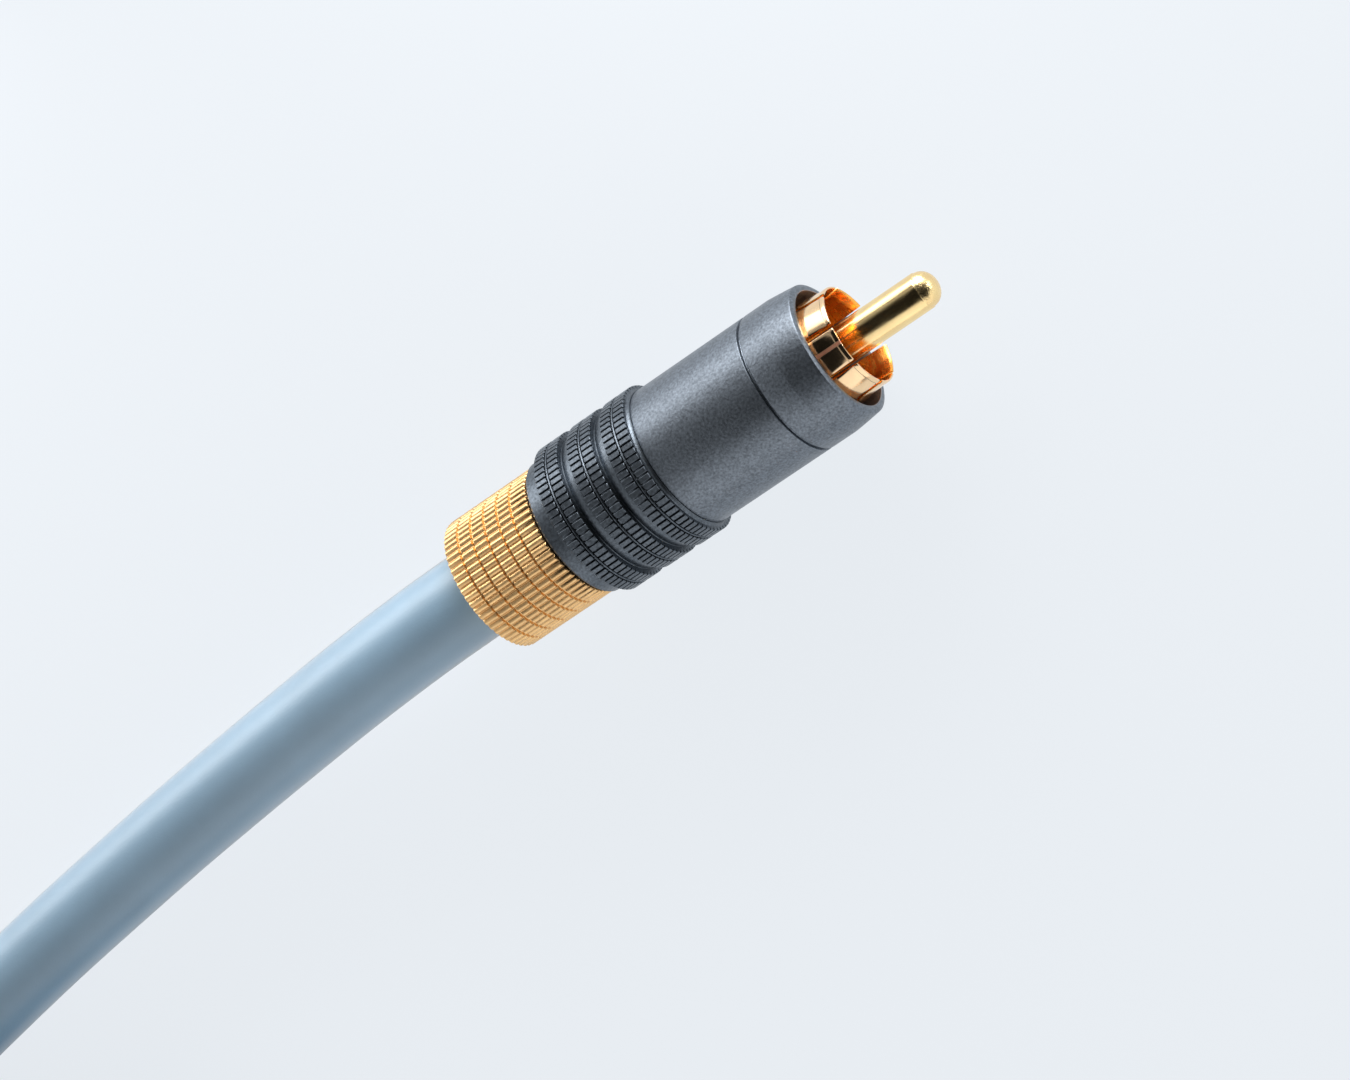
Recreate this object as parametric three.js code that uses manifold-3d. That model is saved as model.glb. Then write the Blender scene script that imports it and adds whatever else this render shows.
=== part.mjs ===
// A screened audio lead with a turned metal phono plug on each end, laid down as it is stored.
// Sizes are in millimetres, +Z is up and the floor is z = 0. The near plug points along +X.
// Inside each plug x = 0 is the sleeve's front edge and +x runs towards the pin's tip.

import * as THREE from 'three';
import { mergeVertices } from 'three/addons/utils/BufferGeometryUtils.js';
import Module from 'manifold-3d';

const wasm = await Module();
wasm.setup();

// Clearances
const screwFit = 0.15;
const endFit = 0.15;
const cableFit = 0.3;
const coilFit = 0.3;
const layerFit = 0.15;
const overcut = 1;

// Centre pin
const pinRadius = 3.175 / 2;
const pinReach = 14.28;
const pinEdgeLength = 0.1;
const pinEdgeDepth = 0.08;
const pinDomeHeight = 1.23;
const pinDomeSteps = 4;
const pinShankRadius = 1.25;
const pinShankLength = 10.75;
const solderCupRadius = 0.8;
const solderCupDepth = 2.7;

// Insulator
const insulatorFace = -4.6;
const insulatorHeadLength = 2;
const insulatorStemRadius = 3.05;
const insulatorStemLength = 4.4;

// Ground ring
const ringFront = 2;
const ringBore = 4.02;
const ringLipWall = 0.2;
const ringLipLength = 0.35;
const ringMouthWall = 0.36;
const ringMouthLength = 1.75;
const ringMouthTaper = 0.1;
const ringCollarInset = 0.42;
const ringCollarLength = 0.7;
const ringBodyWall = 0.58;
const ringFlangeStep = 0.5;
const ringFlangeLength = 1.1;
const ringFlangeInset = 0.3;
const ringSkirtWall = 0.75;
const ringSkirtLength = 4;
const ringSlots = 8;
const ringSlotWidth = 0.4;
const ringSlotInset = 0.4;

// Chassis
const chassisLength = 9.35;
const shelfLength = 6.5;
const shelfWall = 1;
const shelfCutHeight = -0.6;

// Sleeve
const sleeveWall = 0.9;
const sleeveEnd = -16.1;
const noseFaceWall = 0.4;
const noseEdgeWall = 0.63;
const noseEdgeLength = 0.3;
const noseLength = 2.68;
const noseSteps = 3;
const grooveCentre = -5.1;
const grooveHalfWidth = 0.12;
const grooveDepth = 0.12;
const spigotWall = 0.5;
const spigotLength = 2.9;

// Rear grip
const toothDepth = 0.28;
const toothRootStep = 0.27;
const gripTeeth = 72;
const gripNoseLength = 0.3;
const gripNoseStep = 0.09;
const toothBandLength = 2.4;
const toothBandCount = 3;
const grooveLength = 1.04;
const grooveFloorStep = 0.05;
const grooveRise = 0.26;
const rootUndercut = 0.02;
const collarDrop = 0.1;
const collarLength = 1.52;
const collarChamfer = 0.2;
const gripChamberRadius = 5;
const threadWall = 0.8;
const threadLength = 4.7;

// Clamp nut
const nutWall = 0.72;
const nutFluteDepth = 0.18;
const nutFlutes = 58;
const nutChamfer = 0.15;
const nutRearWall = 1.05;

// Clamp collet
const colletLength = 2.75;
const colletFrontWall = 0.9;
const colletRearWall = 0.5;
const colletSlots = 4;
const colletSlotWidth = 0.8;
const colletSlotDepth = 2;

// Cable and its layers
const cableRadius = 3.75;
const jacketInset = 2.2;
const braidInset = 0.1;
const braidWall = 0.5;
const braidLength = 5.4;
const coreLength = 7.1;
const conductorRadius = 0.6;
const conductorCupGap = 0.3;

// Route of the cable
const floorGap = 0.05;
const laneStep = 2 * cableRadius + 0.05;
const outerLane = 43.85;
const coilCentre = [-109.3, -59.2];
const coilRingChamfer = 1.5;
const tailLength = 62;
const laneHeight = cableRadius + floorGap;
const middleLane = outerLane - laneStep / 2;
const nestRise = Math.sqrt(laneStep ** 2 - (laneStep / 2) ** 2);
const crossingHeight = laneHeight + laneStep;

// Facets
const roundSides = 36;
const coreSides = 20;
const cableSides = 10;
const coilSides = 40;
const leadSteps = 12;
const tailSteps = 6;

// Places that follow from the sizes
const pinTip = insulatorFace + pinReach;
const skirtBore = insulatorStemRadius + screwFit;
const skirtRadius = skirtBore + ringSkirtWall;
const ringMouthRadius = ringBore + ringMouthWall;
const ringBodyRadius = ringBore + ringBodyWall;
const ringFlangeRadius = ringBodyRadius + ringFlangeStep;
const ringFlangeFront = insulatorFace - ringFlangeInset;
const ringFlangeRear = ringFlangeFront - ringFlangeLength;
const skirtEnd = ringFlangeRear - ringSkirtLength;
const chassisFront = ringFlangeRear - endFit;
const chassisEnd = chassisFront - chassisLength;
const shelfEnd = chassisEnd - shelfLength;
const jacketEnd = shelfEnd - jacketInset;
const sleeveBore = ringFlangeRadius + screwFit;
const sleeveRadius = sleeveBore + sleeveWall;
const spigotRadius = sleeveBore + spigotWall;
const spigotEnd = sleeveEnd - spigotLength;
const toothRootRadius = sleeveRadius + toothRootStep;
const toothTipRadius = toothRootRadius + toothDepth;
const grooveFloorRadius = sleeveRadius + grooveFloorStep;
const collarRadius = sleeveRadius - collarDrop;
const gripChamberFront = spigotEnd - endFit;
const gripChamberRear = jacketEnd - cableFit;
const gripEnd = sleeveEnd - gripNoseLength - toothBandCount * toothBandLength
  - (toothBandCount - 1) * grooveLength - collarLength;
const cableHoleRadius = cableRadius + cableFit;
const threadRadius = cableHoleRadius + threadWall;
const threadEnd = gripEnd - threadLength;
const colletBore = cableRadius + screwFit;
const colletRearRadius = colletBore + colletRearWall;
const colletFront = threadEnd - endFit;
const colletRear = colletFront - colletLength;
const nutRootRadius = threadRadius + screwFit + nutWall;
const nutTipRadius = nutRootRadius + nutFluteDepth;
const nutFront = gripEnd - endFit;
const nutRear = colletRear - endFit - nutRearWall;
const braidOuterRadius = insulatorStemRadius - braidInset;
const braidInnerRadius = braidOuterRadius - braidWall;
const plugCentre = (pinTip + nutRear) / 2;
const axisHeight = toothTipRadius;

// Material for one kind of surface
function material(colour, roughness, metalness) {
  return new THREE.MeshStandardMaterial({ color: colour, roughness, metalness });
}

// Solid turned about the plug's axis from points [x, radius], outside wall running forwards
function turned(points, sides = roundSides, closed = true) {
  const outline = points.map(([x, radius]) => new THREE.Vector2(radius, x));
  if (closed) {
    outline.push(outline[0].clone());
  }
  return new THREE.LatheGeometry(outline, sides).rotateZ(-Math.PI / 2);
}

// Plain tube or rod about the plug's axis
function tube(rear, front, inner, outer, sides = roundSides) {
  return turned([[rear, inner], [rear, outer], [front, outer], [front, inner]], sides, inner > 0);
}

// Closed geometry to a solid that can be joined and cut
function solid(geometry) {
  const bare = geometry.clone();
  bare.deleteAttribute('normal');
  bare.deleteAttribute('uv');
  const merged = mergeVertices(bare, 1e-4);
  const corners = merged.index.array;
  const faces = [];
  for (let i = 0; i < corners.length; i += 3) {
    const [a, b, c] = corners.slice(i, i + 3);
    if (a !== b && b !== c && c !== a) {
      faces.push(a, b, c);
    }
  }
  return new wasm.Manifold(new wasm.Mesh({
    numProp: 3,
    vertProperties: new Float32Array(merged.attributes.position.array),
    triVerts: new Uint32Array(faces),
  }));
}

// Solid back to a geometry
function shape(body) {
  const mesh = body.getMesh();
  const geometry = new THREE.BufferGeometry();
  geometry.setAttribute('position', new THREE.BufferAttribute(mesh.vertProperties, 3));
  geometry.setIndex(new THREE.BufferAttribute(mesh.triVerts, 1));
  geometry.computeVertexNormals();
  return geometry;
}

// Prism with pointed teeth round it, one tooth straight down
function toothed(rear, front, tipRadius, rootRadius, teeth) {
  const outline = new THREE.Shape();
  for (let i = 0; i < 2 * teeth; i += 1) {
    const angle = (Math.PI * i) / teeth;
    const radius = i % 2 ? rootRadius : tipRadius;
    const point = [radius * Math.cos(angle), radius * Math.sin(angle)];
    if (i) {
      outline.lineTo(...point);
    } else {
      outline.moveTo(...point);
    }
  }
  const prism = new THREE.ExtrudeGeometry(outline, { depth: front - rear, bevelEnabled: false });
  return prism.rotateY(Math.PI / 2).translate(rear, 0, 0);
}

// Flat bar across the axis that cuts two opposite slots
function slotBar(rear, front, width, reach, angle) {
  const bar = new THREE.BoxGeometry(front - rear, width, 2 * reach);
  return bar.translate((front + rear) / 2, 0, 0).rotateX(angle);
}

function centrePin() {
  const shoulder = insulatorFace + endFit;
  const rear = shoulder - pinShankLength;
  const cupFloor = rear + solderCupDepth;
  const domeStart = pinTip - pinDomeHeight;
  const points = [
    [cupFloor, 0],
    [cupFloor, solderCupRadius],
    [rear, solderCupRadius],
    [rear, pinShankRadius],
    [shoulder, pinShankRadius],
    [shoulder, pinRadius],
    [domeStart - pinEdgeLength, pinRadius],
  ];
  for (let i = 0; i <= pinDomeSteps; i += 1) {
    const angle = (Math.PI / 2) * (i / pinDomeSteps);
    const radius = i < pinDomeSteps ? (pinRadius - pinEdgeDepth) * Math.cos(angle) : 0;
    points.push([domeStart + pinDomeHeight * Math.sin(angle), radius]);
  }
  return turned(points, coreSides, false);
}

function pinInsulator() {
  const bore = pinShankRadius + screwFit;
  const headRear = insulatorFace - insulatorHeadLength;
  const stemRear = headRear - insulatorStemLength;
  const headRadius = ringBore - screwFit;
  return turned([
    [stemRear, bore],
    [stemRear, insulatorStemRadius],
    [headRear, insulatorStemRadius],
    [headRear, headRadius],
    [insulatorFace, headRadius],
    [insulatorFace, bore],
  ], coreSides);
}

function groundRing() {
  const headSeat = insulatorFace - insulatorHeadLength - endFit;
  const mouthFront = ringFront - ringLipLength;
  const mouthRear = mouthFront - ringMouthLength;
  const collarFront = -ringCollarInset;
  const ring = solid(turned([
    [skirtEnd, skirtBore],
    [skirtEnd, skirtRadius],
    [ringFlangeRear, skirtRadius],
    [ringFlangeRear, ringFlangeRadius],
    [ringFlangeFront, ringFlangeRadius],
    [ringFlangeFront, ringBodyRadius],
    [collarFront - ringCollarLength, ringBodyRadius],
    [collarFront - ringCollarLength, ringFlangeRadius],
    [collarFront, ringFlangeRadius],
    [mouthRear, ringMouthRadius + ringMouthTaper],
    [mouthFront, ringMouthRadius],
    [ringFront, ringBore + ringLipWall],
    [ringFront, ringBore],
    [headSeat, ringBore],
    [headSeat, skirtBore],
  ]));
  const slotEnd = insulatorFace + ringSlotInset;
  let slots = null;
  for (let i = 0; i < ringSlots / 2; i += 1) {
    const angle = ((2 * i + 1) * Math.PI) / ringSlots;
    const bar = slotBar(slotEnd, ringFront + overcut, ringSlotWidth, ringFlangeRadius + overcut,
      angle);
    slots = slots ? slots.add(solid(bar)) : solid(bar);
  }
  return shape(ring.subtract(slots));
}

function chassis() {
  const seatBore = skirtRadius + screwFit;
  const seatEnd = skirtEnd - endFit;
  const shelfRadius = skirtBore + shelfWall;
  const body = solid(turned([
    [shelfEnd, skirtBore],
    [shelfEnd, shelfRadius],
    [chassisEnd, shelfRadius],
    [chassisEnd, ringFlangeRadius],
    [chassisFront, ringFlangeRadius],
    [chassisFront, seatBore],
    [seatEnd, seatBore],
    [seatEnd, skirtBore],
  ]));
  const openLength = shelfLength + overcut;
  const openHeight = shelfRadius + overcut - shelfCutHeight;
  const opening = new THREE.BoxGeometry(openLength, 2 * (shelfRadius + overcut), openHeight)
    .translate(chassisEnd - openLength / 2, 0, shelfCutHeight + openHeight / 2);
  return shape(body.subtract(solid(opening)));
}

function sleeve() {
  const edgeRadius = sleeveBore + noseEdgeWall;
  const points = [
    [spigotEnd, sleeveBore],
    [spigotEnd, spigotRadius],
    [sleeveEnd, spigotRadius],
    [sleeveEnd, sleeveRadius],
    [grooveCentre - grooveHalfWidth, sleeveRadius],
    [grooveCentre, sleeveRadius - grooveDepth],
    [grooveCentre + grooveHalfWidth, sleeveRadius],
  ];
  for (let i = 0; i <= noseSteps; i += 1) {
    const part = i / noseSteps;
    const bulge = 1 - part ** 2;
    points.push([
      -noseLength + (noseLength - noseEdgeLength) * part,
      edgeRadius + (sleeveRadius - edgeRadius) * bulge,
    ]);
  }
  points.push([0, sleeveBore + noseFaceWall], [0, sleeveBore]);
  return turned(points);
}

function rearGrip() {
  const collarFront = gripEnd + collarLength;
  const points = [
    [gripEnd, 0],
    [gripEnd, collarRadius - collarChamfer],
    [gripEnd + collarChamfer, collarRadius],
    [collarFront, collarRadius],
  ];
  const bands = [];
  let rear = collarFront;
  for (let i = 0; i < toothBandCount; i += 1) {
    const front = rear + toothBandLength;
    points.push([rear, toothRootRadius - rootUndercut], [front, toothRootRadius - rootUndercut]);
    bands.push(solid(toothed(rear, front, toothTipRadius, toothRootRadius, gripTeeth)));
    rear = front + grooveLength;
    if (i < toothBandCount - 1) {
      points.push([front, grooveFloorRadius], [rear, grooveFloorRadius + grooveRise]);
    }
  }
  points.push([sleeveEnd, sleeveRadius + gripNoseStep], [sleeveEnd, 0]);
  let body = solid(turned(points, roundSides, false));
  body = body.add(solid(tube(threadEnd, gripEnd + overcut, 0, threadRadius)));
  bands.forEach((band) => {
    body = body.add(band);
  });
  const bore = solid(turned([
    [threadEnd - overcut, 0],
    [threadEnd - overcut, cableHoleRadius],
    [gripChamberRear, cableHoleRadius],
    [gripChamberRear, gripChamberRadius],
    [gripChamberFront, gripChamberRadius],
    [gripChamberFront, spigotRadius + screwFit],
    [sleeveEnd + overcut, spigotRadius + screwFit],
    [sleeveEnd + overcut, 0],
  ], roundSides, false));
  return shape(body.subtract(bore));
}

function clampNut() {
  const blank = solid(turned([
    [nutRear, 0],
    [nutRear, nutTipRadius - nutChamfer],
    [nutRear + nutChamfer, nutTipRadius + overcut / 10],
    [nutFront - nutChamfer, nutTipRadius + overcut / 10],
    [nutFront, nutTipRadius - nutChamfer],
    [nutFront, 0],
  ], roundSides, false));
  const fluted = solid(toothed(nutRear - overcut, nutFront + overcut, nutTipRadius, nutRootRadius,
    nutFlutes));
  const coneFront = colletFront - endFit;
  const coneRear = colletRear - endFit;
  const bore = solid(turned([
    [nutRear - overcut, 0],
    [nutRear - overcut, cableHoleRadius],
    [coneRear, cableHoleRadius],
    [coneRear, colletRearRadius + screwFit],
    [coneFront, threadRadius + screwFit],
    [nutFront + overcut, threadRadius + screwFit],
    [nutFront + overcut, 0],
  ], roundSides, false));
  return shape(blank.intersect(fluted).subtract(bore));
}

function clampCollet() {
  const frontRadius = colletBore + colletFrontWall;
  const cone = solid(turned([
    [colletRear, colletBore],
    [colletRear, colletRearRadius],
    [colletFront, frontRadius],
    [colletFront, colletBore],
  ]));
  let slots = null;
  for (let i = 0; i < colletSlots / 2; i += 1) {
    const angle = (2 * Math.PI * i) / colletSlots;
    const bar = slotBar(colletRear - overcut, colletRear + colletSlotDepth, colletSlotWidth,
      frontRadius + overcut, angle);
    slots = slots ? slots.add(solid(bar)) : solid(bar);
  }
  return shape(cone.subtract(slots));
}

function screenBraid() {
  const rear = jacketEnd + cableFit;
  return tube(rear, rear + braidLength, braidInnerRadius, braidOuterRadius, coreSides);
}

function coreInsulation() {
  const rear = jacketEnd + cableFit;
  return tube(rear, rear + coreLength, conductorRadius + layerFit, braidInnerRadius - layerFit,
    coreSides);
}

function conductor() {
  const rear = jacketEnd + cableFit;
  const cupFloor = insulatorFace + endFit - pinShankLength + solderCupDepth;
  const points = [
    [rear, 0],
    [rear, conductorRadius],
    [cupFloor - conductorCupGap, conductorRadius],
    [cupFloor - conductorCupGap, 0],
  ];
  return turned(points, coreSides / 2, false);
}

// One plug, standing at the place of its x = 0 point
function plug(prefix, place) {
  const gold = material(0xd9b15f, 0.25, 1);
  const roseGold = material(0xd9a066, 0.25, 1);
  const greyMetal = material(0x5f666e, 0.45, 0.8);
  const pieces = [
    ['centre_pin', centrePin(), gold],
    ['pin_insulator', pinInsulator(), material(0xe8e6df, 0.6, 0)],
    ['ground_ring', groundRing(), roseGold],
    ['chassis', chassis(), gold],
    ['sleeve', sleeve(), greyMetal],
    ['rear_grip', rearGrip(), greyMetal],
    ['clamp_nut', clampNut(), gold],
    ['clamp_collet', clampCollet(), material(0x26282a, 0.6, 0)],
    ['screen_braid', screenBraid(), material(0xb9bec2, 0.5, 1)],
    ['core_insulation', coreInsulation(), material(0xe9ecec, 0.6, 0)],
    ['conductor', conductor(), material(0xb66a3c, 0.35, 1)],
  ];
  const group = new THREE.Group();
  pieces.forEach(([name, geometry, finish]) => {
    const mesh = new THREE.Mesh(geometry, finish);
    mesh.name = `${prefix}_${name}`;
    group.add(mesh);
  });
  group.position.set(...place);
  return group;
}

const nearPlace = [-plugCentre, 0, axisHeight];
const farPlace = [
  coilCentre[0] + tailLength - nutRear,
  coilCentre[1] - middleLane,
  axisHeight,
];

// From the near plug, down to the floor and round into the coil
const leadPoints = [
  [jacketEnd - plugCentre, 0, axisHeight],
  [-17.2, 0, axisHeight],
  [-23.1, 0, axisHeight],
  [-30, -0.1, 6.6],
  [-38, -0.45, 6],
  [-46, -1, 5.1],
  [-54, -1.65, 4.4],
  [-62, -2.4, 4.05],
  [-70, -3.3, laneHeight],
  [-78, -4.3, laneHeight],
  [-86, -5.5, laneHeight],
  [-93.8, -6.8, laneHeight],
  [-101.6, -8.3, laneHeight],
  [-109.2, -10.3, laneHeight],
  [-116.7, -12.9, laneHeight],
  [-124, -16.1, laneHeight],
  [-130.8, -20.1, laneHeight],
  [-137.1, -24.9, laneHeight],
  [-142.7, -30.5, laneHeight],
  [-147.6, -37.5, laneHeight],
];

// From the top of the coil over its outer turn to the far plug, as [distance, height]
const tailRise = [
  [0, laneHeight + nestRise],
  [8, 10.8],
  [18, crossingHeight],
  [26, 10.5],
  [34, 8.8],
  [42, 7.5],
  [50, 6.85],
  [57, axisHeight],
  [tailLength, axisHeight],
  [68, axisHeight],
  [tailLength + jacketEnd - nutRear, axisHeight],
];
const tailPoints = tailRise.map(([distance, height]) => [
  coilCentre[0] + distance,
  coilCentre[1] - middleLane,
  height,
]);

// Solid of the coil's outer shape, grown all round where it cuts the cable
function coilRing(grow) {
  const outside = outerLane + cableRadius + grow;
  const inside = outerLane - laneStep - cableRadius - grow;
  const shoulder = laneHeight + cableRadius + grow;
  const top = laneHeight + nestRise + cableRadius + grow;
  const bottom = -grow;
  const topOutside = middleLane + cableRadius + grow;
  const topInside = middleLane - cableRadius - grow;
  const outline = [
    [inside + coilRingChamfer, bottom],
    [outside - coilRingChamfer, bottom],
    [outside, bottom + coilRingChamfer],
    [outside, shoulder],
    [topOutside, top],
    [topInside, top],
    [inside, shoulder],
    [inside, bottom + coilRingChamfer],
    [inside + coilRingChamfer, bottom],
  ].map(([radius, z]) => new THREE.Vector2(radius, z));
  return new THREE.LatheGeometry(outline, coilSides)
    .rotateX(Math.PI / 2)
    .translate(coilCentre[0], coilCentre[1], 0);
}

// Round cable through the points, less what lies inside the coil's solid
function cable(points, steps) {
  const route = new THREE.CatmullRomCurve3(points.map((point) => new THREE.Vector3(...point)));
  const section = new THREE.Shape();
  for (let i = 0; i < cableSides; i += 1) {
    const angle = (2 * Math.PI * i) / cableSides;
    const point = [cableRadius * Math.cos(angle), cableRadius * Math.sin(angle)];
    if (i) {
      section.lineTo(...point);
    } else {
      section.moveTo(...point);
    }
  }
  const run = new THREE.ExtrudeGeometry(section, { steps, extrudePath: route });
  return shape(solid(run).subtract(solid(coilRing(coilFit))));
}

// The cable's three solids, in its own blue-grey jacket
function cablePieces() {
  const jacket = material(0x8aa0b2, 0.5, 0);
  const pieces = [
    ['cable_lead', cable(leadPoints, leadSteps)],
    ['cable_coil', coilRing(0)],
    ['cable_tail', cable(tailPoints, tailSteps)],
  ];
  return pieces.map(([name, geometry]) => {
    const mesh = new THREE.Mesh(geometry, jacket);
    mesh.name = name;
    return mesh;
  });
}

const lead = new THREE.Group();
lead.add(plug('near', nearPlace), plug('far', farPlace), ...cablePieces());

export default lead;
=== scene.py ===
"""A screened audio lead: a turned phono plug on each end and its cable wound into a coil.

Meshes are in metres. The outlines of turned parts and the cable's route are in millimetres. Inside
a plug, x = 0 is the sleeve's front edge and +x runs to the pin's tip.
"""

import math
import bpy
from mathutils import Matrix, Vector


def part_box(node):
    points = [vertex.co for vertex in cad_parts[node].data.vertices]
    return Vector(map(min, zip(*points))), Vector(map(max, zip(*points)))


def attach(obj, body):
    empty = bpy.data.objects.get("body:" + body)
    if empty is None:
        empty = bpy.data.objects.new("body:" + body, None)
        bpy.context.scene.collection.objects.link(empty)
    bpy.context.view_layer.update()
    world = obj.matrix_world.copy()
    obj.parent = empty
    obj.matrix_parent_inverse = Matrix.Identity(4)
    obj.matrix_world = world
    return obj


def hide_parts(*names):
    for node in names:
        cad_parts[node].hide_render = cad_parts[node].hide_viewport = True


bl_info = {
    "name": "Phono Plug Audio Lead",
    "version": (1, 0, 0),
    "blender": (4, 5, 0),
    "location": "3D View > Sidebar > Audio Lead",
    "description": "Builds a screened audio lead with two turned phono plugs and a coiled cable",
    "category": "Object",
}

import bmesh
import bpy
from bpy.props import FloatProperty, FloatVectorProperty, IntProperty, PointerProperty
from bpy.types import Operator, Panel, PropertyGroup
from mathutils import Matrix, Vector

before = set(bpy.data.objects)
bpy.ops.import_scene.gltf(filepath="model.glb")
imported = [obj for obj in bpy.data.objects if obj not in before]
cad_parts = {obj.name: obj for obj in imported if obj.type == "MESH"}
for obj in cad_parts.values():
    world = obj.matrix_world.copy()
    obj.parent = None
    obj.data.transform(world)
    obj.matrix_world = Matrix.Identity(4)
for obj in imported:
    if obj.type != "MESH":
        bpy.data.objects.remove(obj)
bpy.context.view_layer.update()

MM = 0.001
ENDS = ("near", "far")
FACE_MERGE = 1e-7
SHARP_ANGLE = math.radians(32)
INWARD_LIMIT = 0.3

# Rounded corners of an outline: longest share of a side, least bend and least size
CORNER_SHARE = 0.45
CORNER_BEND = math.radians(20)
CORNER_CUT = 0.004 * MM
CORNER_SEGMENTS = 3

# The part of a noise pattern's range that is used
NOISE_LOW = 0.3
NOISE_HIGH = 0.7


def length(name, description, default):
    """A length that the panel shows, given in millimetres."""
    return FloatProperty(
        name=name, description=description, default=default * MM, unit="LENGTH", precision=5
    )


def colour(name, description, default):
    """A colour that the panel shows."""
    return FloatVectorProperty(
        name=name, description=description, default=default, subtype="COLOR", min=0, max=1
    )


class PlugSizes(PropertyGroup):
    """Sizes of one phono plug"""

    pin_radius: length("Pin radius", "Half the centre pin's width", 1.5875)
    pin_tip: length("Pin tip", "From the sleeve's front edge to the pin's tip", 9.68)
    ring_front: length("Ring front", "How far the ground ring stands out of the sleeve", 2.0)
    ring_bore: length("Ring bore", "Inner radius of the ground ring", 4.02)
    ring_petals: IntProperty(
        name="Ring petals", description="Number of spring petals", default=8, min=3
    )
    ring_slot: length("Ring slot", "Width of the slot between two petals", 0.4)
    sleeve_radius: length("Sleeve radius", "Outer radius of the sleeve", 6.15)
    sleeve_bore: length("Sleeve bore", "Inner radius of the sleeve", 5.25)
    tooth_tip: length("Tooth tip", "Radius over the grip's teeth", 6.7)
    tooth_root: length("Tooth root", "Radius between the grip's teeth", 6.5)
    grip_teeth: IntProperty(
        name="Grip teeth", description="Number of teeth round the grip", default=72, min=12
    )
    nut_tip: length("Nut radius", "Radius over the nut's ridges", 5.9)
    nut_root: length("Nut root", "Radius between the nut's ridges", 5.72)
    nut_ridges: IntProperty(
        name="Nut ridges", description="Number of ridges round the nut", default=58, min=12
    )


class CableSizes(PropertyGroup):
    """Sizes of the cable and its coil"""

    radius: length("Cable radius", "Half the cable's width", 3.8)
    whole_length: length("Cable length", "Length of the cable from plug to plug", 810)
    outer_lane: length("Outer lane", "Radius of the coil's outer turn", 43.85)
    lane_step: length("Lane step", "Distance between two turns side by side", 7.6)


class Finishes(PropertyGroup):
    """Colours of the lead's finishes"""

    grey_metal: colour("Grey metal", "Blasted grey of the sleeve", (0.17, 0.192, 0.22))
    # Bare metal inside the sleeve, tinted warm as a painted reflection of the gold ring
    bore_metal_and_reflection: colour("Bore metal and reflection", "Bare metal inside the sleeve", (0.42, 0.36, 0.35))
    grip_metal: colour("Grip metal", "Grey of the toothed grip", (0.113, 0.13, 0.15))
    pin_gold: colour("Pin gold", "Plating of the centre pin", (1.0, 0.72, 0.35))
    ring_gold: colour("Ring gold", "Reddish plating of the ground ring", (0.98, 0.68, 0.4))
    # Reddish painted reflection streak along the top of the ground ring
    reflection_streak_gold: colour("Reflection streak gold", "Painted reflection streak on the ground ring", (0.86, 0.4, 0.25))
    # Deep orange inside the ground ring: painted reflections of the gold in itself
    bore_reflection_gold: colour("Bore reflection gold", "Painted reflections inside the ground ring", (1.0, 0.47, 0.1))
    nut_gold: colour("Nut gold", "Plating of the clamp nut", (0.84, 0.53, 0.24))
    jacket: colour("Jacket", "Blue grey of the cable's jacket", (0.235, 0.39, 0.525))
    floor: colour("Floor", "Pale blue white of the floor", (0.868, 0.91, 0.955))
    backdrop: colour("Backdrop", "Pale blue white behind the floor", (0.807, 0.846, 0.888))


class StudioSettings(PropertyGroup):
    """Camera and light"""

    lens: FloatProperty(name="Lens", description="Focal length in millimetres", default=130.67)
    sky: FloatProperty(name="Sky", description="Strength of the white studio", default=1)
    side_panel: FloatProperty(
        name="Side panel", description="Brightness of the white panel beside the lead", default=1.4
    )
    nose_panel: FloatProperty(
        name="Nose panel", description="Brightness of the white panel beside the plug's nose", default=9
    )
    cable_panel: FloatProperty(
        name="Cable panel", description="Brightness of the white panel beside the cable", default=1.3
    )
    front_lamp: FloatProperty(
        name="Front lamp", description="Brightness of the small lamp before the pin", default=50
    )
    dark_angle: FloatProperty(
        name="Dark cone",
        description="Half angle of the unlit part of the room above the lead",
        default=math.radians(50),
        subtype="ANGLE",
    )


# Node helpers


def new_material(name):
    """An empty material with a Principled shader, and its node tree's parts."""
    material = bpy.data.materials.new(name)
    material.use_nodes = True
    tree = material.node_tree
    tree.nodes.clear()
    output = tree.nodes.new("ShaderNodeOutputMaterial")
    shader = tree.nodes.new("ShaderNodeBsdfPrincipled")
    tree.links.new(shader.outputs["BSDF"], output.inputs["Surface"])
    return material, tree, shader


def place_on_piece(tree, scale=(1, 1, 1)):
    """Object coordinates, stretched by scale."""
    texture = tree.nodes.new("ShaderNodeTexCoord")
    mapping = tree.nodes.new("ShaderNodeMapping")
    mapping.inputs["Scale"].default_value = scale
    tree.links.new(texture.outputs["Object"], mapping.inputs["Vector"])
    return mapping.outputs["Vector"]


def noise(tree, place, scale, detail, roughness):
    """Grain at scale per metre."""
    node = tree.nodes.new("ShaderNodeTexNoise")
    node.inputs["Scale"].default_value = scale
    node.inputs["Detail"].default_value = detail
    node.inputs["Roughness"].default_value = roughness
    tree.links.new(place, node.inputs["Vector"])
    return node.outputs["Fac"]


def spread(tree, value, low, high, start=NOISE_LOW, end=NOISE_HIGH):
    """A value from start to end turned to low to high."""
    node = tree.nodes.new("ShaderNodeMapRange")
    node.inputs["From Min"].default_value = start
    node.inputs["From Max"].default_value = end
    node.inputs["To Min"].default_value = low
    node.inputs["To Max"].default_value = high
    tree.links.new(value, node.inputs["Value"])
    return node.outputs["Result"]


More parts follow.
